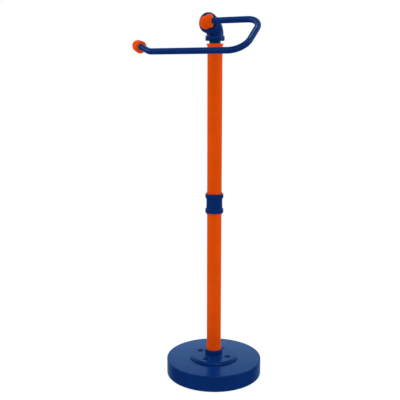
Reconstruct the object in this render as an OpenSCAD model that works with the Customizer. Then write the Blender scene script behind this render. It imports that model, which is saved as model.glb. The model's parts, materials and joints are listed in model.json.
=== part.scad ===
// Free-standing roll holder in the manner of pipe fittings: a weighted round base, a floor flange,
// a pole in two lengths screwed together through a coupling, and an elbow whose mouth carries a
// ball knob and a bent rod with an upturned, capped tip.
// Millimetres, +Z up. The origin is on the pole's axis, on the floor.
// The rod's two long runs lie along X, and the elbow's mouth faces -Y.

/* [Base] */
// Radius of the round base
base_r = 85; // [75:0.5:100]
// Height of the base's top face above the floor
base_h = 28.9; // [24:0.2:36]
// Wall and top thickness of the base's shell
shell_t = 3; // [2:0.5:4]
// Thickness of the felt pad under the base
felt_t = 1.4; // [1:0.1:2]
// Height of the shell's lower rim above the floor
rim_gap = 0.5; // [0.3:0.1:0.8]

/* [Flange and socket] */
// Radius of the flange plate at its foot
flange_r = 43; // [41:0.5:48]
// Radius of the flange plate's flat top
flange_top_r = 38.6; // [37:0.2:40]
// Thickness of the flange plate
flange_t = 5; // [4:0.1:6]
// Radius of the circle on which the four flange screws stand
screw_circle_r = 27.4; // [25:0.1:30]
// Radius of the countersunk mouth of a flange screw hole
countersink_r = 6.2; // [5:0.1:6.5]
// Radius of the socket that carries the pole
socket_r = 15.6; // [15:0.1:17]
// Height of the socket above the flange plate
socket_h = 10.8; // [9:0.1:14]

/* [Pole] */
// Outside radius of the pole's tubes
tube_r = 12.7; // [12.5:0.1:12.9]
// Wall thickness of the tubes
tube_wall = 1.5; // [1:0.1:2]
// Length of the lower tube
lower_len = 252.7; // [150:0.1:400]
// Length of the upper tube
upper_len = 254.9; // [150:0.1:400]
// Radius of the ring around the foot of the lower tube
foot_ring_r = 13.2; // [13:0.1:14.5]
// Height of the ring around the foot of the lower tube
foot_ring_h = 8; // [6:0.5:16]
// Radius of the stop rings that meet the coupling
stop_ring_r = 14; // [13.4:0.1:14.5]
// Height of a stop ring
stop_ring_h = 2.7; // [2:0.1:5]
// Radius of the collar at the top of the pole
top_collar_r = 14.2; // [13.6:0.1:15]
// Height of the collar at the top of the pole
top_collar_h = 4.8; // [4.4:0.1:9]

/* [Coupling] */
// Height of the coupling
coupling_h = 33.8; // [28:0.2:44]
// Radius of the rings at the coupling's two ends
coupling_ring_r = 15.9; // [15:0.1:17]
// Height of each of those rings
coupling_ring_h = 7.6; // [5:0.1:9]
// Radius of the coupling's barrel at its waist
coupling_waist_r = 13.95; // [13:0.1:14.4]

/* [Head elbow] */
// Radius of the nipple between the pole and the elbow
neck_r = 9.5; // [8.5:0.1:10]
// Length of the nipple that shows
neck_h = 4.5; // [3:0.1:6]
// Radius of the ring at the elbow's lower end
elbow_ring_r = 16.1; // [15.5:0.1:18]
// Height of that ring
elbow_ring_h = 8.1; // [6:0.1:9]
// Radius of the elbow's body
elbow_r = 14.2; // [13.4:0.1:15]
// Radius of the elbow's bend, on the centre line
elbow_bend_r = 18; // [17:0.1:19.5]
// Height of the elbow's mouth above the pole, to its centre
mouth_rise = 32.5; // [31.5:0.1:34]
// Radius of the ring around the mouth
mouth_ring_r = 16.8; // [16:0.1:18]
// Thickness of that ring
mouth_ring_t = 4.6; // [4:0.1:8]
// Distance from the pole's axis to the mouth's front face
mouth_reach = 25.4; // [23:0.1:26]
// Radius of the bushing that closes the mouth
bushing_r = 12; // [11.5:0.1:13]

/* [Knob and rod] */
// Radius of the ball knob
ball_r = 10.6; // [10:0.1:12]
// Distance of the ball's centre in front of the mouth's face
ball_out = 6.4; // [6:0.1:8]
// Radius of the sleeve that the rod goes into
sleeve_r = 10.7; // [10:0.1:12]
// Distance from the ball's centre to the sleeve's flat end
sleeve_reach = 10.7; // [9:0.1:12]
// Height of the rod's axis above the ball's centre
rod_rise = 2.4; // [0:0.1:2.6]
// Radius of the bent rod
rod_r = 5.05; // [4.5:0.05:5.4]
// Distance of the bent end beyond the pole's axis, to the rod's centre line
bend_reach = 101.2; // [80:0.2:130]
// Distance between the rod's two runs, centre to centre
rod_drop = 82.4; // [70:0.2:110]
// Angle by which the rod's plane leans forward of straight down
rod_lean = 53.4; // [35:0.2:65]
// Radius of the two large bends, on the centre line
bend_r = 26.5; // [18:0.5:32]
// Reach of the lower run on the other side of the pole, to the start of the tip's bend
tip_run = 61.1; // [46:0.2:76]
// Angle by which the tip turns up within the rod's plane
tip_angle = 28.8; // [15:0.2:40]
// Straight length of the tip, from the end of its bend to the cap
tip_straight = 22; // [17:0.2:29]
// Radius of the tip's bend, on the centre line
tip_bend_r = 19.5; // [15:0.5:24]

/* [Tip cap] */
// Radius of the barrel of the tip's cap, at the end that the rod enters
cap_r = 10.3; // [9.5:0.1:11.5]
// Length of that barrel
cap_len = 12; // [9:0.1:15]
// Radius of the barrel at its other end
cap_back_r = 9.6; // [9.2:0.1:11]
// Radius of the ball behind the barrel
cap_ball_r = 8.3; // [7.8:0.1:9]
// How far the cap sits off the rod's centre line, towards the upper run
cap_offset = 1.1; // [0:0.1:1.5]

/* [Hidden] */
$fn = 96;
fit_gap = 0.05;          // radial clearance around a stud, screw or plug
stud_r = 4;              // the pole's studs
stud_end = 1;            // chamfer on a stud's end
plug_len = 24;           // depth of a threaded plug in a tube
shell_r = base_r - shell_t;
flange_z = base_h;
socket_z = flange_z + flange_t;
lower_z = socket_z + socket_h;
coupling_z = lower_z + lower_len;
upper_z = coupling_z + coupling_h;
neck_z = upper_z + upper_len;
elbow_z = neck_z + neck_h;
mouth_z = neck_z + mouth_rise;
bore_r = tube_r - tube_wall;
plug_r = bore_r - fit_gap;
base_edge_r = 1.3;       // rounding of the base's top edge
weight_pocket_r = 15;    // pocket in the weight for the nut
weight_pocket_h = 11;
nut_flats = 13;
nut_h = 6.5;
washer_r = 12;
washer_t = 1.6;
weight_z = felt_t;
weight_top = base_h - shell_t;
washer_z = weight_z + weight_pocket_h - washer_t;
nut_z = washer_z - nut_h;
screw_shank_r = 2.5;
screw_len = 20;          // from the flange's top face
screw_sink = 1.8;        // depth of a screw head below that face
screw_head_r = countersink_r - screw_sink - fit_gap;
screw_head_h = screw_head_r - screw_shank_r;
nipple_wall = 2.5;
nipple_seat = 9;         // depth of the nipple in the elbow
bushing_t = 10;
bushing_sink = 0.3;      // the bushing sits this far inside the mouth
knob_stud_r = 3;
knob_stud_seat = 4;      // depth of the knob's stud in the ball
ball_y = -(mouth_reach + ball_out);
rod_z = mouth_z + rod_rise;
sleeve_x = 3.9;          // the sleeve starts here, where the ball is cut flat
sleeve_cone_h = 2.7;
sleeve_cone_r = 9;
rod_start = 0.6;         // the rod starts here, inside the ball
set_screw_r = 2;
set_screw_x = 7.4;
cap_seat = 8;            // depth of the rod in the cap's barrel
cap_ball_out = 0.5;      // the ball's centre is this far beyond the barrel
tip_ease = 0.02;         // the straight tip is this much slimmer, to press into the cap
tip_root = 0.5;          // and it starts this far inside the end of the tip's bend

navy = [0.0, 0.15, 0.38];
orange = [0.83, 0.29, 0.05];
steel = [0.62, 0.63, 0.65];
iron = [0.25, 0.25, 0.26];
felt = [0.12, 0.12, 0.13];

// Points on an arc, from angle a0 to angle a1, both included
function arc(centre, r, a0, a1, n = 6) =
    [for (i = [0 : n]) centre + r * [cos(a0 + (a1 - a0) * i / n), sin(a0 + (a1 - a0) * i / n)]];

// A solid turned about Z from points given as [radius, height]
module turned(points) {
    rotate_extrude() polygon(points);
}

// A plain bar about Z, from height z0 to height z1
module bar(r, z0, z1) {
    translate([0, 0, z0]) cylinder(r = r, h = z1 - z0);
}

// A threaded stud, drawn at its thread's mean size, with chamfered ends
module stud(r, z0, z1) {
    turned([[0, z0], [r - stud_end, z0], [r, z0 + stud_end],
            [r, z1 - stud_end], [r - stud_end, z1], [0, z1]]);
}

// A ring with small chamfers on its outer edges
module ring(r_in, r_out, z0, z1, edge = 0.5) {
    turned([[r_in, z0], [r_out - edge, z0], [r_out, z0 + edge],
            [r_out, z1 - edge], [r_out - edge, z1], [r_in, z1]]);
}

// Children repeated at the four flange screws
module at_screws() {
    for (i = [0 : 3]) rotate(90 * i) translate([screw_circle_r, 0, 0]) children();
}

// ---- base ----

module felt_pad() {
    color(felt) bar(shell_r - 0.5, 0, felt_t);
}

module base_weight() {
    color(iron) difference() {
        bar(shell_r - fit_gap, weight_z, weight_top);
        bar(weight_pocket_r, weight_z - 1, weight_z + weight_pocket_h);
        bar(stud_r + fit_gap, 0, base_h);
        at_screws() bar(screw_shank_r + fit_gap, socket_z - screw_len - 1, base_h);
    }
}

module base_shell() {
    color(navy) difference() {
        turned(concat(
            [[0, weight_top], [shell_r, weight_top], [shell_r, rim_gap], [base_r - 0.6, rim_gap],
             [base_r, rim_gap + 0.6]],
            arc([base_r - base_edge_r, base_h - base_edge_r], base_edge_r, 0, 90),
            [[0, base_h]]));
        bar(stud_r + fit_gap, 0, base_h + 1);
        at_screws() bar(screw_shank_r + fit_gap, 0, base_h + 1);
    }
}

module base_nut() {
    color(steel) difference() {
        translate([0, 0, nut_z]) cylinder(r = nut_flats / sqrt(3), h = nut_h, $fn = 6);
        bar(stud_r + fit_gap, 0, base_h);
    }
}

module base_washer() {
    color(steel) difference() {
        bar(washer_r, washer_z, washer_z + washer_t);
        bar(stud_r + fit_gap, 0, base_h);
    }
}

module base_stud() {
    color(steel) stud(stud_r, nut_z - 1.5, lower_z + plug_len - 4);
}

// ---- flange and socket ----

module flange_plate() {
    land = 1.2;
    color(navy) difference() {
        turned([[0, flange_z], [flange_r, flange_z], [flange_r, flange_z + land],
                [flange_r - 1, flange_z + 2.2], [flange_top_r + 1, socket_z - 0.4],
                [flange_top_r, socket_z], [0, socket_z]]);
        bar(stud_r + fit_gap, 0, socket_z + 1);
        at_screws() {
            bar(screw_shank_r + fit_gap, 0, socket_z + 1);
            translate([0, 0, socket_z - (countersink_r - screw_shank_r)])
                cylinder(r1 = screw_shank_r, r2 = countersink_r + 0.01,
                         h = countersink_r - screw_shank_r + 0.01);
        }
    }
}

module flange_screw() {
    top = socket_z - screw_sink;
    slot_w = 1.4;
    slot_l = 5.2;
    difference() {
        turned([[0, socket_z - screw_len], [screw_shank_r - 0.8, socket_z - screw_len],
                [screw_shank_r, socket_z - screw_len + 1.2], [screw_shank_r, top - screw_head_h],
                [screw_head_r, top], [0, top]]);
        for (a = [45, 135]) translate([0, 0, top]) rotate(a) cube([slot_l, slot_w, 2.2], center = true);
    }
}

module flange_screws() {
    color(navy) at_screws() flange_screw();
}

module tube_socket() {
    fillet = 1.6;
    color(navy) difference() {
        turned(concat(
            [[0, socket_z], [socket_r + fillet, socket_z]],
            arc([socket_r + fillet, socket_z + fillet], fillet, 270, 180),
            [[socket_r, lower_z - 0.6], [socket_r - 0.6, lower_z], [0, lower_z]]));
        bar(stud_r + fit_gap, 0, lower_z + 1);
    }
}

// ---- pole ----

// A tube with open ends
module tube(z0, len) {
    difference() {
        bar(tube_r, z0, z0 + len);
        bar(bore_r, z0 - 1, z0 + len + 1);
    }
}

// A threaded plug pressed into a tube's end, with a bore of radius r
module plug(z0, r = stud_r) {
    difference() {
        bar(plug_r, z0, z0 + plug_len);
        bar(r + fit_gap, z0 - 1, z0 + plug_len + 1);
    }
}

module lower_plug() {
    color(steel) plug(lower_z);
}

module foot_ring() {
    color(orange) ring(tube_r + fit_gap, foot_ring_r, lower_z, lower_z + foot_ring_h, 0.2);
}

module lower_tube() {
    color(orange) tube(lower_z, lower_len);
}

module lower_top_plug() {
    color(steel) plug(coupling_z - plug_len);
}

module lower_stop_ring() {
    color(orange) ring(tube_r + fit_gap, stop_ring_r, coupling_z - stop_ring_h, coupling_z, 0.4);
}

module coupling() {
    edge = 0.5;
    half = coupling_h / 2;
    waist_h = half - coupling_ring_h;
    sag_r = 150;         // radius of the waist's shallow curve
    a = asin(waist_h / sag_r);
    lower = concat(
        [[0, -half], [coupling_ring_r - edge, -half], [coupling_ring_r, -half + edge],
         [coupling_ring_r, -waist_h - edge], [coupling_ring_r - edge, -waist_h]],
        arc([coupling_waist_r + sag_r, 0], sag_r, 180 + a, 180, 5));
    upper = [for (i = [len(lower) - 2 : -1 : 0]) [lower[i][0], -lower[i][1]]];
    color(navy) difference() {
        translate([0, 0, coupling_z + half]) turned(concat(lower, upper));
        bar(stud_r + fit_gap, coupling_z - 1, upper_z + 1);
    }
}

module coupling_stud() {
    color(steel) stud(stud_r, coupling_z - plug_len + 5, upper_z + plug_len - 5);
}

module upper_stop_ring() {
    color(orange) ring(tube_r + fit_gap, stop_ring_r, upper_z, upper_z + stop_ring_h, 0.4);
}

module upper_plug() {
    color(steel) plug(upper_z);
}

module upper_tube() {
    color(orange) tube(upper_z, upper_len);
}

module upper_top_plug() {
    color(steel) plug(neck_z - plug_len, neck_r);
}

module top_collar() {
    lip = 1.7;
    z0 = neck_z - top_collar_h;
    color(orange) turned([[tube_r + fit_gap, z0], [tube_r + 0.3, z0], [tube_r + 0.5, z0 + 1],
                          [top_collar_r - 0.6, neck_z - lip - 0.5], [top_collar_r, neck_z - lip],
                          [top_collar_r, neck_z - 0.5], [top_collar_r - 0.5, neck_z],
                          [tube_r + fit_gap, neck_z]]);
}

// ---- head ----

// Children turned to face -Y, at the centre of the elbow's mouth
module at_mouth() {
    translate([0, -mouth_reach, mouth_z]) rotate([90, 0, 0]) children();
}

module neck_nipple() {
    color(navy) difference() {
        bar(neck_r, neck_z - plug_len + 2, elbow_z + nipple_seat);
        bar(neck_r - nipple_wall, neck_z - plug_len, elbow_z + nipple_seat + 1);
    }
}

module head_elbow() {
    bend_z = mouth_z - elbow_bend_r;
    ring_top = elbow_z + elbow_ring_h;
    edge = 0.9;          // chamfer of the lower ring
    root_swell = 0.4;    // the body widens this much into its lower ring
    color(navy) difference() {
        union() {
            turned([[0, elbow_z], [elbow_ring_r - edge, elbow_z], [elbow_ring_r, elbow_z + edge],
                    [elbow_ring_r, ring_top - edge], [elbow_ring_r - edge, ring_top],
                    [elbow_r + root_swell, ring_top], [elbow_r, bend_z], [0, bend_z]]);
            translate([0, -elbow_bend_r, bend_z]) rotate([90, 0, 90])
                rotate_extrude(angle = 90) translate([elbow_bend_r, 0]) circle(r = elbow_r);
            at_mouth() bar(elbow_r, elbow_bend_r - mouth_reach, -1);
            at_mouth() ring(0, mouth_ring_r, -mouth_ring_t, 0, 0.7);
        }
        bar(neck_r + fit_gap, elbow_z - 1, elbow_z + nipple_seat);
        at_mouth() bar(bushing_r + fit_gap, -bushing_t - bushing_sink, 1);
    }
}

module mouth_bushing() {
    color(navy) at_mouth() difference() {
        ring(0, bushing_r, -bushing_t - bushing_sink, -bushing_sink, 0.4);
        bar(knob_stud_r + fit_gap, -bushing_t - 1, 1);
    }
}

module knob_stud() {
    color(steel) at_mouth() stud(knob_stud_r, -bushing_t - bushing_sink, knob_stud_seat);
}

module ball_knob() {
    big = 4 * ball_r;
    back_a = -asin((ball_out + bushing_sink) / ball_r);
    color(orange) difference() {
        at_mouth() turned(concat([[0, -bushing_sink]], arc([0, ball_out], ball_r, back_a, 90, 24)));
        translate([sleeve_x, ball_y - big / 2, mouth_z - big / 2]) cube(big);
        at_mouth() bar(knob_stud_r + fit_gap, -1, knob_stud_seat + 0.2);
        translate([rod_start, ball_y, rod_z]) rotate([0, 90, 0]) bar(rod_r + fit_gap, 0, ball_r);
    }
}

module rod_sleeve() {
    big = 4 * sleeve_r;
    color(orange) difference() {
        translate([0, ball_y, rod_z]) rotate([0, 90, 0])
            turned([[0, sleeve_x], [sleeve_r - 0.5, sleeve_x], [sleeve_r, sleeve_x + 0.5],
                    [sleeve_r, sleeve_reach - 0.5], [sleeve_r - 0.5, sleeve_reach],
                    [sleeve_cone_r, sleeve_reach], [rod_r + 0.6, sleeve_reach + sleeve_cone_h],
                    [0, sleeve_reach + sleeve_cone_h]]);
        translate([-big / 2, -mouth_reach, rod_z - big / 2]) cube(big);
        translate([0, ball_y, rod_z]) rotate([0, 90, 0]) bar(rod_r + fit_gap, 0, big);
        translate([set_screw_x, ball_y, 0]) bar(set_screw_r + fit_gap, rod_z - sleeve_r - 1, rod_z);
    }
}

module set_screw() {
    z0 = rod_z - sleeve_r + 0.6;
    color(steel) translate([set_screw_x, ball_y, 0]) difference() {
        bar(set_screw_r, z0, rod_z - rod_r - fit_gap);
        translate([0, 0, z0 - 1]) cylinder(r = 1.15, h = 3, $fn = 6);
    }
}

// ---- bent rod ----

// The rod's own plane: X along its runs, Y down the drop, with the upper run on the X axis
module in_rod_plane() {
    translate([0, ball_y, rod_z]) rotate([270 - rod_lean, 0, 0]) children();
}

// One bend of the rod, about the origin, from angle a0 on
module bend(r, a0, turn) {
    rotate(a0) rotate_extrude(angle = turn) translate([r, 0]) circle(r = rod_r);
}

// The frame of the tip: its Z runs along the tip, from the end of the tip's bend
module at_tip() {
    translate([-tip_run, rod_drop - tip_bend_r, 0]) rotate(tip_angle)
        translate([0, tip_bend_r, 0]) rotate([0, -90, 0]) children();
}

module bent_rod() {
    bend_x = bend_reach - bend_r;
    color(navy) in_rod_plane() union() {
        translate([rod_start, 0, 0]) rotate([0, 90, 0]) cylinder(r = rod_r, h = bend_x - rod_start);
        translate([bend_x, bend_r, 0]) bend(bend_r, -90, 90);
        translate([bend_reach, bend_r, 0]) rotate([-90, 0, 0]) cylinder(r = rod_r, h = rod_drop - 2 * bend_r);
        translate([bend_x, rod_drop - bend_r, 0]) bend(bend_r, 0, 90);
        translate([bend_x, rod_drop, 0]) rotate([0, -90, 0]) cylinder(r = rod_r, h = bend_x + tip_run);
        translate([-tip_run, rod_drop - tip_bend_r, 0]) bend(tip_bend_r, 90, tip_angle);
        at_tip() translate([0, 0, -tip_root])
            cylinder(r = rod_r - tip_ease, h = tip_root + tip_straight + cap_seat - 0.1);
    }
}

// ---- tip cap ----

module tip_barrel() {
    color(orange) in_rod_plane() at_tip() translate([cap_offset, 0, tip_straight]) difference() {
        turned([[0, 0], [cap_r - 0.5, 0], [cap_r, 0.5], [cap_back_r, cap_len - 0.6],
                [cap_back_r - 0.6, cap_len], [0, cap_len]]);
        translate([-cap_offset, 0, 0]) bar(rod_r + fit_gap, -1, cap_seat);
    }
}

module tip_ball() {
    big = 4 * cap_ball_r;
    color(orange) in_rod_plane() at_tip() translate([cap_offset, 0, tip_straight + cap_len]) difference() {
        translate([0, 0, cap_ball_out]) sphere(r = cap_ball_r);
        translate([-big / 2, -big / 2, -big]) cube(big);
    }
}

felt_pad();
base_weight();
base_shell();
base_nut();
base_washer();
base_stud();
flange_plate();
flange_screws();
tube_socket();
lower_plug();
foot_ring();
lower_tube();
lower_top_plug();
lower_stop_ring();
coupling();
coupling_stud();
upper_stop_ring();
upper_plug();
upper_tube();
upper_top_plug();
top_collar();
neck_nipple();
head_elbow();
mouth_bushing();
knob_stud();
ball_knob();
rod_sleeve();
set_screw();
bent_rod();
tip_barrel();
tip_ball();
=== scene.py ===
import json
import math

import bmesh
import bpy
from mathutils import Matrix, Vector


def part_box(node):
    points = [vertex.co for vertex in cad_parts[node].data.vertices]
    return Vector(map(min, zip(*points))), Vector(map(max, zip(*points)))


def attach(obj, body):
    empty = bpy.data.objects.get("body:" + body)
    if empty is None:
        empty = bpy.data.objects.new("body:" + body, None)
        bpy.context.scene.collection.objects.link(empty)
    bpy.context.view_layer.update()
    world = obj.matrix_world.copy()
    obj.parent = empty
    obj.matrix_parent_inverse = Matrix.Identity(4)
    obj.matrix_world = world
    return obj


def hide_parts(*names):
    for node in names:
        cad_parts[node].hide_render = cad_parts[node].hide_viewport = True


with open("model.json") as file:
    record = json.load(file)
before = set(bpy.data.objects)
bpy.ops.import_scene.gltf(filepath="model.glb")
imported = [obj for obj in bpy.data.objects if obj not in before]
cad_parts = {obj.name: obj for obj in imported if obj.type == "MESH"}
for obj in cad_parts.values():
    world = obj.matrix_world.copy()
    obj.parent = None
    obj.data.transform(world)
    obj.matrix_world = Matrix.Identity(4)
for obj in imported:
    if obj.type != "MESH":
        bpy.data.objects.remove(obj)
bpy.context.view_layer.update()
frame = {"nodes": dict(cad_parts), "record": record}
NODES = frame["nodes"]
SLOT_OF = {p["node"]: p["material_slot"] for p in frame["record"]["subparts"]}
SCENE = bpy.context.scene

MM = 0.001                          # shapes are worked out in millimetres until a mesh is made
AROUND = 128                        # segments around a turned piece
CORNER_STEPS = 6                    # segments in a rounded corner of a profile
SHARP_ANGLE = math.radians(32)      # edges sharper than this aren't smoothed
X = Vector((1, 0, 0))
Y = Vector((0, 1, 0))
UP = Vector((0, 0, 1))
WHITE = (1, 1, 1, 1)


# ---- node helpers ----

class Graph:
    """A node tree, with short ways to add and link its nodes."""

    def __init__(self, tree):
        self.tree = tree

    def put(self, socket, value):
        if isinstance(value, bpy.types.NodeSocket):
            self.tree.links.new(value, socket)
        else:
            socket.default_value = value

    def put_all(self, node, inputs):
        """Sets or links inputs by name, with _ for each space in the name."""
        for key, value in inputs.items():
            self.put(node.inputs[key.replace("_", " ")], value)

    def add(self, kind, **inputs):
        node = self.tree.nodes.new(kind)
        self.put_all(node, inputs)
        return node

    def remap(self, value, low, high, to_low, to_high, curve="LINEAR"):
        node = self.add("ShaderNodeMapRange", Value=value, From_Min=low, From_Max=high,
                        To_Min=to_low, To_Max=to_high)
        node.interpolation_type = curve
        return node.outputs["Result"]

    def combine(self, operation, a, b):
        node = self.add("ShaderNodeMath")
        node.operation = operation
        self.put(node.inputs[0], a)
        self.put(node.inputs[1], b)
        return node.outputs[0]


class Finish(Graph):
    """A new material, and the nodes that its surface needs."""

    def __init__(self, name):
        self.mat = bpy.data.materials.new(name)
        self.mat.use_nodes = True
        super().__init__(self.mat.node_tree)
        self.coords = self.add("ShaderNodeTexCoord").outputs["Object"]

    def surface(self, **inputs):
        self.put_all(self.tree.nodes["Principled BSDF"], inputs)
        return self.mat

    def noise(self, scale, detail=3.0, rough=0.5, stretch=(1, 1, 1)):
        place = self.add("ShaderNodeMapping", Vector=self.coords, Scale=stretch)
        return self.add("ShaderNodeTexNoise", Vector=place.outputs["Vector"], Scale=scale, Detail=detail,
                        Roughness=rough).outputs["Fac"]

    def mix(self, factor, a, b):
        """Two colours mixed; of the node's inputs, 6 and 7 are the colours A and B."""
        node = self.add("ShaderNodeMix")
        node.data_type = "RGBA"
        for socket, value in ((0, factor), (6, a), (7, b)):
            self.put(node.inputs[socket], value)
        return node.outputs[2]

    def bump(self, height, strength, distance, below=None):
        """Relief of a height map, this many metres deep, on top of the relief below."""
        node = self.add("ShaderNodeBump", Height=height, Strength=strength, Distance=distance)
        if below is not None:
            self.put(node.inputs["Normal"], below)
        return node.outputs["Normal"]


def rgb(r, g, b):
    return (r, g, b, 1.0)


# ---- materials ----

def satin_paint(name, deep, full, highlight_colour, rough, coat, gloss):
    """Powder coat: soft cloudy colour, a fine orange peel, and a painted highlight: paler colour on sharp
    edges.
    """
    n = Finish(name)
    cloud = n.remap(n.noise(38.0, 4.0, 0.55), 0.35, 0.65, 0.0, 1.0)
    edge = n.add("ShaderNodeNewGeometry").outputs["Pointiness"]
    # painted highlight: sharp edges, found by their pointiness, are mixed towards a paler colour
    edge_highlight = n.remap(edge, 0.53, 0.6, 0.0, 0.35)
    dust = n.remap(n.noise(900.0, 2.0, 0.6), 0.3, 0.7, rough - 0.035, rough + 0.035)
    peel = n.bump(n.noise(520.0, 2.0, 0.5), 0.3, 0.00006)
    ripple = n.bump(n.noise(90.0, 1.0, 0.4), 0.1, 0.00022, peel)
    return n.surface(Base_Color=n.mix(edge_highlight, n.mix(cloud, deep, full), highlight_colour), Roughness=dust, Normal=ripple,
                     Coat_Weight=coat, Coat_Roughness=0.12, Specular_IOR_Level=gloss)


def zinc_steel(name):
    """Zinc-plated steel: bright, slightly spangled, with fine turning marks round the part's axis."""
    n = Finish(name)
    spangle = n.noise(240.0, 3.0, 0.6)
    marks = n.noise(60.0, 2.0, 0.5, stretch=(1, 1, 40))
    return n.surface(Base_Color=n.mix(spangle, rgb(0.42, 0.43, 0.46), rgb(0.6, 0.61, 0.63)),
                     Roughness=n.remap(spangle, 0.3, 0.7, 0.26, 0.42),
                     Normal=n.bump(marks, 0.25, 0.00004), Metallic=1.0)


def cast_iron(name):
    """Raw grey iron with the grain of a sand casting."""
    n = Finish(name)
    grain = n.noise(420.0, 6.0, 0.7)
    return n.surface(Base_Color=n.mix(grain, rgb(0.03, 0.03, 0.031), rgb(0.09, 0.085, 0.08)),
                     Roughness=n.remap(grain, 0.3, 0.7, 0.55, 0.8),
                     Normal=n.bump(grain, 0.6, 0.0003), Metallic=0.8)


def pressed_felt(name):
    """Black felt: matted fibres in two sizes, with a dry sheen."""
    n = Finish(name)
    tufts = n.noise(700.0, 5.0, 0.75)
    fibres = n.noise(2600.0, 3.0, 0.7, stretch=(1, 0.25, 1))
    soft = n.bump(tufts, 0.7, 0.0004)
    return n.surface(Base_Color=n.mix(tufts, rgb(0.006, 0.006, 0.007), rgb(0.03, 0.03, 0.033)),
                     Roughness=n.remap(fibres, 0.2, 0.8, 0.85, 1.0),
                     Normal=n.bump(fibres, 0.5, 0.00015, soft), Sheen_Weight=0.35)


def studio_floor_white(name):
    """Matt white with a very faint grain, almost wholly self-lit, so that it runs into the backdrop."""
    n = Finish(name)
    return n.surface(Base_Color=n.mix(n.noise(30.0, 3.0, 0.5), rgb(0.09, 0.09, 0.09), rgb(0.11, 0.11, 0.11)),
                     Roughness=1.0, Specular_IOR_Level=0.0, Emission_Color=WHITE, Emission_Strength=0.93)


def flag_black(name):
    """Dead black for a card that takes reflections away."""
    n = Finish(name)
    return n.surface(Base_Color=n.mix(n.noise(5.0), rgb(0, 0, 0), rgb(0.002, 0.002, 0.002)),
                     Specular_IOR_Level=0.0)


FINISHES = {
    # the third colour of each paint is the paler colour of its painted highlight on sharp edges
    "navy_paint": satin_paint("navy paint", rgb(0.0, 0.019, 0.122), rgb(0.0, 0.0225, 0.14),
                              rgb(0.01, 0.045, 0.2), rough=0.28, coat=0.05, gloss=0.08),
    "orange_paint": satin_paint("orange paint", rgb(0.7, 0.07, 0.0014), rgb(0.76, 0.0775, 0.0022),
                                rgb(0.9, 0.15, 0.02), rough=0.36, coat=0.0, gloss=0.012),
    "steel": zinc_steel("zinc plated steel"),
    "iron": cast_iron("cast iron"),
    "felt": pressed_felt("pressed felt"),
}

for node_name, node_object in NODES.items():
    for material_slot in node_object.material_slots:
        material_slot.material = FINISHES[SLOT_OF[node_name]]


# ---- mesh helpers ----

def finish_piece(obj, node):
    """Gives a new piece its finish, and puts it in the place of its CAD node."""
    obj.data.materials.clear()
    obj.data.materials.append(FINISHES[SLOT_OF[node]])
    obj.data.polygons.foreach_set("use_smooth", [True] * len(obj.data.polygons))
    obj.data.set_sharp_from_angle(angle=SHARP_ANGLE)
    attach(obj, "root")
    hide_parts(node)
    return obj


def object_from(bm, name):
    bmesh.ops.recalc_face_normals(bm, faces=bm.faces)
    mesh = bpy.data.meshes.new(name)
    bm.to_mesh(mesh)
    bm.free()
    obj = bpy.data.objects.new(name, mesh)
    SCENE.collection.objects.link(obj)
    return obj


def arc(centre, radius, a0, a1, steps):
    """Points on an arc in a flat profile, from angle a0 to angle a1 in degrees."""
    turns = [math.radians(a0 + (a1 - a0) * k / steps) for k in range(steps + 1)]
    return [(centre[0] + radius * math.cos(a), centre[1] + radius * math.sin(a)) for a in turns]


def rounded(loop):
    """A closed profile of (r, z) points; a third number is the radius that rounds that corner off."""
    corners = [Vector(point[:2]) for point in loop]
    out = []
    for i, point in enumerate(loop):
        here = corners[i]
        if len(point) < 3:
            out.append(here)
            continue
        back = corners[i - 1] - here
        on = corners[(i + 1) % len(loop)] - here
        half = back.angle(on) / 2
        reach = min(point[2] / math.tan(half), back.length * 0.49, on.length * 0.49)
        radius = reach * math.tan(half)
        start = here + back.normalized() * reach
        end = here + on.normalized() * reach
        centre = here + (back.normalized() + on.normalized()).normalized() * (radius / math.sin(half))
        a0 = math.atan2(start.y - centre.y, start.x - centre.x)
        a1 = math.atan2(end.y - centre.y, end.x - centre.x)
        turn = (a1 - a0 + math.pi) % (2 * math.pi) - math.pi
        for k in range(CORNER_STEPS + 1):
            a = a0 + turn * k / CORNER_STEPS
            out.append(centre + radius * Vector((math.cos(a), math.sin(a))))
    return out


def skin(name, rings, around=AROUND, closed=True):
    """A solid through rings of (centre, across, other, radius); a ring of radius 0 is a single point."""
    bm = bmesh.new()
    made = []
    turns = [2 * math.pi * k / around for k in range(around)]
    for centre, across, other, radius in rings:
        if radius < 1e-5:
            made.append([bm.verts.new(centre * MM)])
        else:
            made.append([bm.verts.new((centre + radius * (math.cos(t) * across + math.sin(t) * other)) * MM)
                         for t in turns])
    following = made[1:] + made[:1] if closed else made[1:]
    for one, two in zip(made, following):
        if len(one) == 1 and len(two) == 1:
            continue
        for k in range(around):
            j = (k + 1) % around
            if len(one) == 1:
                bm.faces.new((one[0], two[k], two[j]))
            elif len(two) == 1:
                bm.faces.new((one[k], one[j], two[0]))
            else:
                bm.faces.new((one[k], one[j], two[j], two[k]))
    if not closed:
        bm.faces.new(made[0])
        bm.faces.new(made[-1])
    return object_from(bm, name)


def lathe(name, loop, place=None, around=AROUND):
    """A solid turned about Z from a closed profile, moved to its place in the frame."""
    place = place or Matrix.Identity(4)
    across = place.to_3x3() @ X
    other = place.to_3x3() @ Y
    return skin(name, [(place @ Vector((0, 0, p[1])), across, other, p[0]) for p in rounded(loop)], around)


def rod(name, path, radius, around):
    """A round bar along a smooth path, with flat ends."""
    rings = []
    tangent = (path[1] - path[0]).normalized()
    across = tangent.orthogonal().normalized()
    for i, point in enumerate(path):
        ahead = (path[min(i + 1, len(path) - 1)] - path[max(i - 1, 0)]).normalized()
        across = (tangent.rotation_difference(ahead).to_matrix() @ across).normalized()
        tangent = ahead
        rings.append((point, across, tangent.cross(across), radius))
    return skin(name, rings, around, closed=False)


def bar(r, z0, z1, place=None, around=64):
    """A plain round tool for cutting a bore."""
    return lathe("tool", [(0, z0), (r, z0), (r, z1), (0, z1)], place, around)


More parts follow.
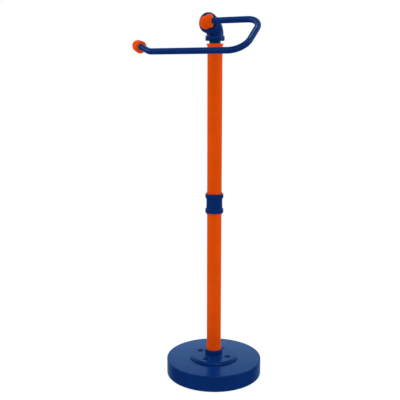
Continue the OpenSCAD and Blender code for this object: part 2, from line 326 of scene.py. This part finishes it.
def block(low, high, place=None):
    """A plain square tool for cutting."""
    bm = bmesh.new()
    bmesh.ops.create_cube(bm, size=1.0)
    for v in bm.verts:
        v.co = Vector([low[i] if v.co[i] < 0 else high[i] for i in range(3)])
    if place is not None:
        bm.transform(place)
    bmesh.ops.scale(bm, vec=(MM, MM, MM), verts=bm.verts)
    return object_from(bm, "tool")


def cut(obj, *tools):
    """Takes each tool away from the object, and then removes the tool."""
    for tool in tools:
        taking = obj.modifiers.new("cut", "BOOLEAN")
        taking.operation = "DIFFERENCE"
        taking.solver = "EXACT"
        taking.object = tool
        bpy.context.view_layer.update()
        result = bpy.data.meshes.new_from_object(obj.evaluated_get(bpy.context.evaluated_depsgraph_get()))
        obj.modifiers.clear()
        obj.data = result
        bpy.data.objects.remove(tool, do_unlink=True)


# ---- sizes, in millimetres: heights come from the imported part, the rest are the part's own values ----

def z_span(node):
    low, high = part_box(node)
    return low[2] / MM, high[2] / MM


def turned_r(node):
    """Outside radius of a node that is turned about the pole's axis."""
    low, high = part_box(node)
    return max(high[1], -low[1], high[0], -low[0]) / MM


GAP = 0.05              # radial clearance between pieces
PAST = 1.0              # how far a cutting tool runs past a face
FAR = 30.0              # and a tool that has to clear the whole head

# base, flange and socket
STUD_R = 4.0
SHELL_T = 3.0
FLANGE_TOP_R = 38.6
FLANGE_LAND = 1.2       # height of the flange's upright rim
FLANGE_SHOULDER = 2.2   # height at which its slope begins
SHANK_R = 2.5
SCREW_CIRCLE_R = 27.4
SCREW_LEN = 20.0        # from the flange's top face
SCREW_SINK = 1.8        # depth of a screw's head below that face
SCREW_POINT_IN = 0.8    # a screw's end is this much slimmer
SCREW_POINT_H = 1.2
COUNTERSINK_R = 6.2
SLOT_HALF_L = 2.6
SLOT_HALF_W = 0.7
SLOT_DEPTH = 1.1
SOCKET_R = 15.6
SOCKET_EDGE_R = 0.8
FILLET_R = 1.6

# pole
TUBE_WALL = 1.5
COUPLING_RING_H = 7.6
WAIST_R = 13.95
WAIST_SAG_R = 150.0     # the coupling's waist is a shallow arc of this radius
COLLAR_LIP = 1.7

# elbow and its mouth
NECK_R = 9.5
NIPPLE_WALL = 2.5
NIPPLE_SEAT = 9.0
ELBOW_R = 14.2
ELBOW_BEND_R = 18.0
ELBOW_RING_R = 16.1
ELBOW_RING_H = 8.1
ROOT_SWELL = 0.4        # the elbow is this much thicker where it leaves its ring
BEND_STEPS = 32
MOUTH_RING_R = 16.8
MOUTH_RING_T = 4.6
MOUTH_REACH = 25.4
BUSHING_R = 12.0
BUSHING_T = 10.0
BUSHING_SINK = 0.3

# ball knob and rod sleeve
BALL_R = 10.6
BALL_OUT = 6.4
BALL_CUT_X = 3.9        # the ball is cut flat here, where the sleeve begins
KNOB_STUD_R = 3.0
KNOB_STUD_SEAT = 4.0
SLEEVE_R = 10.7
SLEEVE_REACH = 10.7
SLEEVE_CONE_R = 9.0
SLEEVE_CONE_H = 2.7
SET_SCREW_R = 2.0
SET_SCREW_X = 7.4

# bent rod and tip cap
ROD_R = 5.05
ROD_RISE = 2.4
ROD_START = 0.6
BEND_REACH = 101.2
ROD_DROP = 82.4
ROD_LEAN = 53.4         # degrees forward of straight down
BEND_R = 26.5
TIP_RUN = 61.1
TIP_ANGLE = 28.8
TIP_STRAIGHT = 22.0
TIP_BEND_R = 19.5
CAP_R = 10.3
CAP_BACK_R = 9.6
CAP_LEN = 12.0
CAP_SEAT = 8.0
CAP_BALL_R = 8.3
CAP_BALL_OUT = 0.5
CAP_OFFSET = 1.1

RIM_Z, BASE_Z = z_span("base_shell")
BASE_R = turned_r("base_shell")
FLANGE_TOP_Z = z_span("flange_plate")[1]
FLANGE_R = turned_r("flange_plate")
LOWER_Z = z_span("tube_socket")[1]
COUPLING_Z, UPPER_Z = z_span("coupling")
COUPLING_R = turned_r("coupling")
COLLAR_Z, NECK_Z = z_span("top_collar")
COLLAR_R = turned_r("top_collar")
NIPPLE_Z = z_span("neck_nipple")
ELBOW_Z = z_span("head_elbow")[0]
MOUTH_Z = z_span("head_elbow")[1] - MOUTH_RING_R
TUBE_R = turned_r("lower_tube")
BALL_Y = -(MOUTH_REACH + BALL_OUT)
ROD_Z = MOUTH_Z + ROD_RISE
BEND_Z = MOUTH_Z - ELBOW_BEND_R
BORE_R = STUD_R + GAP
HOLE_R = SHANK_R + GAP
NECK_BORE_R = NECK_R + GAP
BUSHING_BORE_R = BUSHING_R + GAP
RING_BORE_R = TUBE_R + GAP
SCREW_TOP = FLANGE_TOP_Z - SCREW_SINK
SCREW_END = FLANGE_TOP_Z - SCREW_LEN
HEAD_R = COUNTERSINK_R - SCREW_SINK - GAP

MOUTH = Matrix.Translation((0, -MOUTH_REACH, MOUTH_Z)) @ Matrix.Rotation(math.pi / 2, 4, "X")
BALL_CENTRE = Matrix.Translation((0, BALL_Y, ROD_Z))
ROD_AXIS = BALL_CENTRE @ Matrix.Rotation(math.pi / 2, 4, "Y")
ROD_PLANE = BALL_CENTRE @ Matrix.Rotation(math.radians(270 - ROD_LEAN), 4, "X")
TIP = (ROD_PLANE @ Matrix.Translation((-TIP_RUN, ROD_DROP - TIP_BEND_R, 0))
       @ Matrix.Rotation(math.radians(TIP_ANGLE), 4, "Z") @ Matrix.Translation((0, TIP_BEND_R, 0))
       @ Matrix.Rotation(-math.pi / 2, 4, "Y"))
CAP = TIP @ Matrix.Translation((CAP_OFFSET, 0, TIP_STRAIGHT))
SCREW_PLACES = [Matrix.Rotation(math.pi / 2 * k, 4, "Z") @ Matrix.Translation((SCREW_CIRCLE_R, 0, 0))
                for k in range(4)]


# ---- base, flange and socket ----

shell = lathe("base_shell_skin",
              [(BORE_R, BASE_Z - SHELL_T), (BASE_R - SHELL_T, BASE_Z - SHELL_T, 0.8),
               (BASE_R - SHELL_T, RIM_Z, 0.3), (BASE_R, RIM_Z, 0.7), (BASE_R, BASE_Z, 1.4), (BORE_R, BASE_Z)],
              around=192)
cut(shell, *[bar(HOLE_R, BASE_Z - 2 * SHELL_T, BASE_Z + PAST, place, 32) for place in SCREW_PLACES])
finish_piece(shell, "base_shell")

flange = lathe("flange_skin",
               [(BORE_R, BASE_Z), (FLANGE_R, BASE_Z, 0.3), (FLANGE_R, BASE_Z + FLANGE_LAND, 0.5),
                (FLANGE_R - 1, BASE_Z + FLANGE_SHOULDER, 1.2), (FLANGE_TOP_R + 1, FLANGE_TOP_Z - 0.4, 0.6),
                (FLANGE_TOP_R, FLANGE_TOP_Z, 0.5), (BORE_R, FLANGE_TOP_Z)], around=160)
for place in SCREW_PLACES:
    cut(flange, lathe("tool",
                      [(0, BASE_Z - PAST), (HOLE_R, BASE_Z - PAST),
                       (HOLE_R, FLANGE_TOP_Z - COUNTERSINK_R + SHANK_R, 0.2), (COUNTERSINK_R, FLANGE_TOP_Z),
                       (COUNTERSINK_R, FLANGE_TOP_Z + PAST), (0, FLANGE_TOP_Z + PAST)], place, 64))
finish_piece(flange, "flange_plate")


def flange_screw(place):
    """A countersunk screw with a cross slot."""
    loop = [(0, SCREW_END), (SHANK_R - SCREW_POINT_IN, SCREW_END), (SHANK_R, SCREW_END + SCREW_POINT_H),
            (SHANK_R, SCREW_TOP - HEAD_R + SHANK_R, 0.4), (HEAD_R - 0.1, SCREW_TOP - 0.1, 0.15),
            (HEAD_R - 0.5, SCREW_TOP, 0.5), (0, SCREW_TOP)]
    screw = lathe("screw", loop, place, 64)
    for slot_turn in (45, 135):
        cut(screw, block((-SLOT_HALF_L, -SLOT_HALF_W, SCREW_TOP - SLOT_DEPTH),
                         (SLOT_HALF_L, SLOT_HALF_W, SCREW_TOP + PAST),
                         place @ Matrix.Rotation(math.radians(slot_turn), 4, "Z")))
    return screw


screw_bm = bmesh.new()
for place in SCREW_PLACES:
    screw = flange_screw(place)
    screw_bm.from_mesh(screw.data)
    bpy.data.objects.remove(screw, do_unlink=True)
finish_piece(object_from(screw_bm, "flange_screws_skin"), "flange_screws")

socket = lathe("socket_skin",
               [(BORE_R, FLANGE_TOP_Z), (SOCKET_R + FILLET_R, FLANGE_TOP_Z)]
               + arc((SOCKET_R + FILLET_R, FLANGE_TOP_Z + FILLET_R), FILLET_R, 270, 180, 10)
               + arc((SOCKET_R - SOCKET_EDGE_R, LOWER_Z - SOCKET_EDGE_R), SOCKET_EDGE_R, 0, 90, 6)
               + [(BORE_R, LOWER_Z)])
finish_piece(socket, "tube_socket")


# ---- pole ----

def pole_tube(node):
    z0, z1 = z_span(node)
    inner = TUBE_R - TUBE_WALL
    loop = [(inner, z0, 0.2), (TUBE_R, z0, 0.3), (TUBE_R, z1, 0.3), (inner, z1, 0.2)]
    return finish_piece(lathe(node + "_skin", loop), node)


def pole_ring(node, edge):
    z0, z1 = z_span(node)
    r = turned_r(node)
    return finish_piece(lathe(node + "_skin", [(RING_BORE_R, z0), (r, z0, edge), (r, z1, edge),
                                               (RING_BORE_R, z1)]), node)


POLE_PIECES = [pole_tube("lower_tube"), pole_tube("upper_tube"), pole_ring("foot_ring", 0.2),
               pole_ring("lower_stop_ring", 0.7), pole_ring("upper_stop_ring", 0.7)]

coupling_mid = (UPPER_Z + COUPLING_Z) / 2
waist_half = (UPPER_Z - COUPLING_Z) / 2 - COUPLING_RING_H
waist_turn = math.degrees(math.asin(waist_half / WAIST_SAG_R))
waist = arc((WAIST_R + WAIST_SAG_R, coupling_mid), WAIST_SAG_R, 180 + waist_turn, 180 - waist_turn, 12)
coupling = lathe("coupling_skin",
                 [(BORE_R, COUPLING_Z), (COUPLING_R, COUPLING_Z, 0.8),
                  (COUPLING_R, coupling_mid - waist_half, 0.8), (*waist[0], 0.5)]
                 + waist[1:-1]
                 + [(*waist[-1], 0.5), (COUPLING_R, coupling_mid + waist_half, 0.8),
                    (COUPLING_R, UPPER_Z, 0.8), (BORE_R, UPPER_Z)])
finish_piece(coupling, "coupling")

collar = lathe("top_collar_skin",
               [(RING_BORE_R, COLLAR_Z), (TUBE_R + 0.3, COLLAR_Z), (TUBE_R + 0.5, COLLAR_Z + 1, 0.3),
                (COLLAR_R - 0.6, NECK_Z - COLLAR_LIP - 0.5, 0.3), (COLLAR_R, NECK_Z - COLLAR_LIP, 0.4),
                (COLLAR_R, NECK_Z, 0.6), (RING_BORE_R, NECK_Z)])
finish_piece(collar, "top_collar")


# ---- head ----

nipple = lathe("neck_nipple_skin",
               [(NECK_R - NIPPLE_WALL, NIPPLE_Z[0], 0.3), (NECK_R, NIPPLE_Z[0], 0.4),
                (NECK_R, NIPPLE_Z[1], 0.4), (NECK_R - NIPPLE_WALL, NIPPLE_Z[1], 0.3)])
finish_piece(nipple, "neck_nipple")


def upright(r, z):
    """A ring of the elbow's foot, about the pole's axis."""
    return (Vector((0, 0, z)), X, Y, r)


def at_bend(a):
    """A ring of the elbow's bend, at this angle round it."""
    centre = Vector((0, -ELBOW_BEND_R * (1 - math.cos(a)), BEND_Z + ELBOW_BEND_R * math.sin(a)))
    return (centre, X, Vector((0, math.cos(a), math.sin(a))), ELBOW_R)


def at_mouth(r, out):
    """A ring about the mouth's axis, this far in front of the mouth's face."""
    return (Vector((0, -MOUTH_REACH - out, MOUTH_Z)), X, UP, r)


elbow_ring_top = ELBOW_Z + ELBOW_RING_H
nipple_stop = ELBOW_Z + NIPPLE_SEAT
bushing_stop = -BUSHING_T - BUSHING_SINK
# the last point of the foot's profile, and the first of the mouth's, only close the profile for rounding
foot = rounded([(NECK_BORE_R, ELBOW_Z, 0.3), (ELBOW_RING_R, ELBOW_Z, 1.2),
                (ELBOW_RING_R, elbow_ring_top, 1.2), (ELBOW_R + ROOT_SWELL, elbow_ring_top, 0.8),
                (ELBOW_R, BEND_Z), (0, BEND_Z)])[:-1]
mouth = rounded([(0, -BUSHING_T), (ELBOW_R, ELBOW_BEND_R - MOUTH_REACH), (ELBOW_R, -MOUTH_RING_T, 0.6),
                 (MOUTH_RING_R, -MOUTH_RING_T, 1.0), (MOUTH_RING_R, 0, 1.1), (BUSHING_BORE_R, 0, 0.3),
                 (BUSHING_BORE_R, -BUSHING_T)])[1:]
elbow = skin("head_elbow_skin",
             [upright(0, nipple_stop), upright(NECK_BORE_R, nipple_stop)] + [upright(*p) for p in foot]
             + [at_bend(math.pi / 2 * k / BEND_STEPS) for k in range(1, BEND_STEPS)]
             + [at_mouth(*p) for p in mouth]
             + [at_mouth(BUSHING_BORE_R, bushing_stop), at_mouth(0, bushing_stop)])
finish_piece(elbow, "head_elbow")

bushing = lathe("mouth_bushing_skin",
                [(KNOB_STUD_R + GAP, bushing_stop), (BUSHING_R, bushing_stop, 0.3),
                 (BUSHING_R, -BUSHING_SINK, 0.6), (KNOB_STUD_R + GAP, -BUSHING_SINK, 0.2)], MOUTH)
finish_piece(bushing, "mouth_bushing")

knob_back = -math.degrees(math.asin((BALL_OUT + BUSHING_SINK) / BALL_R))
knob = lathe("ball_knob_skin",
             [(0, -BUSHING_SINK)] + arc((0, BALL_OUT), BALL_R, knob_back, 90, 40)[:-1]
             + [(0, BALL_OUT + BALL_R)], MOUTH, 96)
cut(knob, block((BALL_CUT_X, BALL_Y - FAR, MOUTH_Z - FAR), (FAR, BALL_Y + FAR, MOUTH_Z + FAR)),
    bar(KNOB_STUD_R + GAP, -PAST, KNOB_STUD_SEAT + 0.2, MOUTH, 48),
    bar(ROD_R + GAP, ROD_START, BALL_R, ROD_AXIS, 48))
finish_piece(knob, "ball_knob")

sleeve = lathe("rod_sleeve_skin",
               [(ROD_R + GAP, BALL_CUT_X), (SLEEVE_R, BALL_CUT_X, 0.5), (SLEEVE_R, SLEEVE_REACH, 0.7),
                (SLEEVE_CONE_R, SLEEVE_REACH, 0.4), (ROD_R + 0.6, SLEEVE_REACH + SLEEVE_CONE_H, 0.3),
                (ROD_R + GAP, SLEEVE_REACH + SLEEVE_CONE_H)], ROD_AXIS)
cut(sleeve, block((-FAR, -MOUTH_REACH, ROD_Z - FAR), (FAR, FAR, ROD_Z + FAR)),
    bar(SET_SCREW_R + GAP, ROD_Z - SLEEVE_R - PAST, ROD_Z, Matrix.Translation((SET_SCREW_X, BALL_Y, 0)), 48))
finish_piece(sleeve, "rod_sleeve")


# ---- bent rod and tip cap ----

def in_plane(points):
    """Points of the rod's own flat outline, put into the frame."""
    return [ROD_PLANE @ Vector((x, y, 0)) for x, y in points]


bend_x = BEND_REACH - BEND_R
path = in_plane([(ROD_START, 0)]
                + arc((bend_x, BEND_R), BEND_R, -90, 0, 24)
                + arc((bend_x, ROD_DROP - BEND_R), BEND_R, 0, 90, 24)
                + arc((-TIP_RUN, ROD_DROP - TIP_BEND_R), TIP_BEND_R, 90, 90 + TIP_ANGLE, 12))
path.append(TIP @ Vector((0, 0, TIP_STRAIGHT + CAP_SEAT - 0.1)))
finish_piece(rod("bent_rod_skin", path, ROD_R, 64), "bent_rod")

barrel = lathe("tip_barrel_skin", [(0, 0), (CAP_R, 0, 0.7), (CAP_BACK_R, CAP_LEN, 0.7), (0, CAP_LEN)], CAP)
cut(barrel, bar(ROD_R + GAP, -PAST, CAP_SEAT, CAP @ Matrix.Translation((-CAP_OFFSET, 0, 0)), 64))
finish_piece(barrel, "tip_barrel")

cap_back = -math.degrees(math.asin(CAP_BALL_OUT / CAP_BALL_R))
tip_ball = lathe("tip_ball_skin",
                 [(0, CAP_LEN)] + arc((0, CAP_LEN + CAP_BALL_OUT), CAP_BALL_R, cap_back, 90, 28)[:-1]
                 + [(0, CAP_LEN + CAP_BALL_OUT + CAP_BALL_R)], CAP, 96)
finish_piece(tip_ball, "tip_ball")


# ---- camera, in metres ----

VIEW_DISTANCE = 1.1639      # from the pole's axis, on the flat
VIEW_AZIMUTH = math.radians(28.45)
LOOK_AZIMUTH = math.radians(29.685)
LOOK_DOWN = math.radians(10.85)
EYE_HEIGHT = 0.5426
LENS_MM = 61.01

camera = bpy.data.objects.new("camera", bpy.data.cameras.new("camera"))
SCENE.collection.objects.link(camera)
camera.data.lens = LENS_MM
camera.data.sensor_width = 36.0
camera.data.clip_start = 0.01
camera.location = (VIEW_DISTANCE * math.sin(VIEW_AZIMUTH), -VIEW_DISTANCE * math.cos(VIEW_AZIMUTH),
                   EYE_HEIGHT)
looking = Vector((-math.sin(LOOK_AZIMUTH) * math.cos(LOOK_DOWN),
                  math.cos(LOOK_AZIMUTH) * math.cos(LOOK_DOWN), -math.sin(LOOK_DOWN)))
camera.rotation_euler = looking.to_track_quat("-Z", "Y").to_euler()
SCENE.camera = camera


# ---- floor and black flag ----

FLOOR_HALF = 4.0            # metres
FLOOR_CELLS = 8
FLOOR_DROP = 0.0001         # the floor is this far below the object, so that the two don't share a face

floor_bm = bmesh.new()
bmesh.ops.create_grid(floor_bm, x_segments=FLOOR_CELLS, y_segments=FLOOR_CELLS, size=FLOOR_HALF)
bmesh.ops.translate(floor_bm, vec=(0, 0, -FLOOR_DROP), verts=floor_bm.verts)
floor = object_from(floor_bm, "studio_floor")
floor.data.materials.append(studio_floor_white("studio floor"))
floor.visible_glossy = False
floor.visible_diffuse = False

# A black card in the pole, which only reflections see, stands in for the pole in them, so that the base's
# top mirrors a dark pole and not an orange one.
flag = bar(TUBE_R - 0.1, LOWER_Z, NECK_Z)
flag.name = "reflection_flag"
flag.data.materials.append(flag_black("black flag"))
for ray in ("camera", "diffuse", "transmission", "volume_scatter", "shadow"):
    setattr(flag, "visible_" + ray, False)
for piece in POLE_PIECES:
    piece.visible_glossy = False


# ---- light ----

AMBIENT = 0.88                              # the white surroundings' strength as light
GLOW = 1.9                                  # and the glow's strength in reflections
GLOW_TINT = rgb(0.37, 0.68, 1.0)
GLOW_BY_HEIGHT = ((0.5, 0.0), (0.54, 0.7), (0.62, 0.95), (0.76, 1.0), (0.9, 0.15))
GLOW_OVERHEAD = 0.02
WALL_SIDE = (-0.49, 0.87, 0.0)              # behind the object, away from the camera
WALL_GLOW = 0.36                            # the wall's share of the glow, below the horizon


def studio_world():
    """White all round as light and backdrop; in reflections dark, with a cool glow above the horizon."""
    world = bpy.data.worlds.new("studio")
    world.use_nodes = True
    world.cycles.sampling_method = "NONE"   # a sampled world doesn't know that a ray is a glossy one
    g = Graph(world.node_tree)
    ray = g.add("ShaderNodeLightPath")
    direction = g.add("ShaderNodeTexCoord").outputs["Generated"]
    rise = g.add("ShaderNodeSeparateXYZ", Vector=direction).outputs["Z"]

    band = g.add("ShaderNodeFloatCurve", Value=g.remap(rise, -1.0, 1.0, 0.0, 1.0))
    points = band.mapping.curves[0].points
    for x, y in GLOW_BY_HEIGHT:
        points.new(x, y)
    points[0].location = (0, 0)
    points[-1].location = (1, GLOW_OVERHEAD)
    band.mapping.update()

    facing = g.add("ShaderNodeVectorMath")
    facing.operation = "DOT_PRODUCT"
    g.put(facing.inputs[0], direction)
    g.put(facing.inputs[1], WALL_SIDE)
    wall = g.remap(facing.outputs["Value"], 0.15, 0.85, 0.0, 1.0, "SMOOTHSTEP")
    low = g.remap(rise, 0.05, -0.05, 0.0, WALL_GLOW)
    strength = g.combine("MAXIMUM", band.outputs[0], g.combine("MULTIPLY", wall, low))

    white = world.node_tree.nodes["Background"]
    g.put(white.inputs["Color"], WHITE)
    g.put(white.inputs["Strength"], g.remap(ray.outputs["Is Camera Ray"], 0.0, 1.0, AMBIENT, 1.0))
    glow = g.add("ShaderNodeBackground", Color=GLOW_TINT, Strength=g.combine("MULTIPLY", strength, GLOW))
    mixed = g.add("ShaderNodeMixShader")
    g.put(mixed.inputs[0], ray.outputs["Is Glossy Ray"])
    g.put(mixed.inputs[1], white.outputs[0])
    g.put(mixed.inputs[2], glow.outputs[0])
    g.put(world.node_tree.nodes["World Output"].inputs["Surface"], mixed.outputs[0])
    return world


def area_light(name, place, target, size, watts):
    """A round soft light at a place, facing a target."""
    light = bpy.data.lights.new(name, "AREA")
    light.shape = "DISK"
    light.size = size
    light.energy = watts
    obj = bpy.data.objects.new(name, light)
    obj.location = place
    obj.rotation_euler = (Vector(target) - Vector(place)).to_track_quat("-Z", "Y").to_euler()
    SCENE.collection.objects.link(obj)


SCENE.world = studio_world()
area_light("overhead", (0.11, 0.36, 2.55), (0, 0, 0.5), 0.5, 10.0)
area_light("left", (-1.9, -1.1, 1.7), (0, 0, 0.4), 0.9, 8.5)
area_light("right", (1.9, 1.1, 0.9), (0, 0, 0.3), 0.9, 7.5)

SCENE.view_settings.view_transform = "Standard"
SCENE.view_settings.look = "None"
SCENE.view_settings.exposure = 0.0
SCENE.view_settings.gamma = 1.0
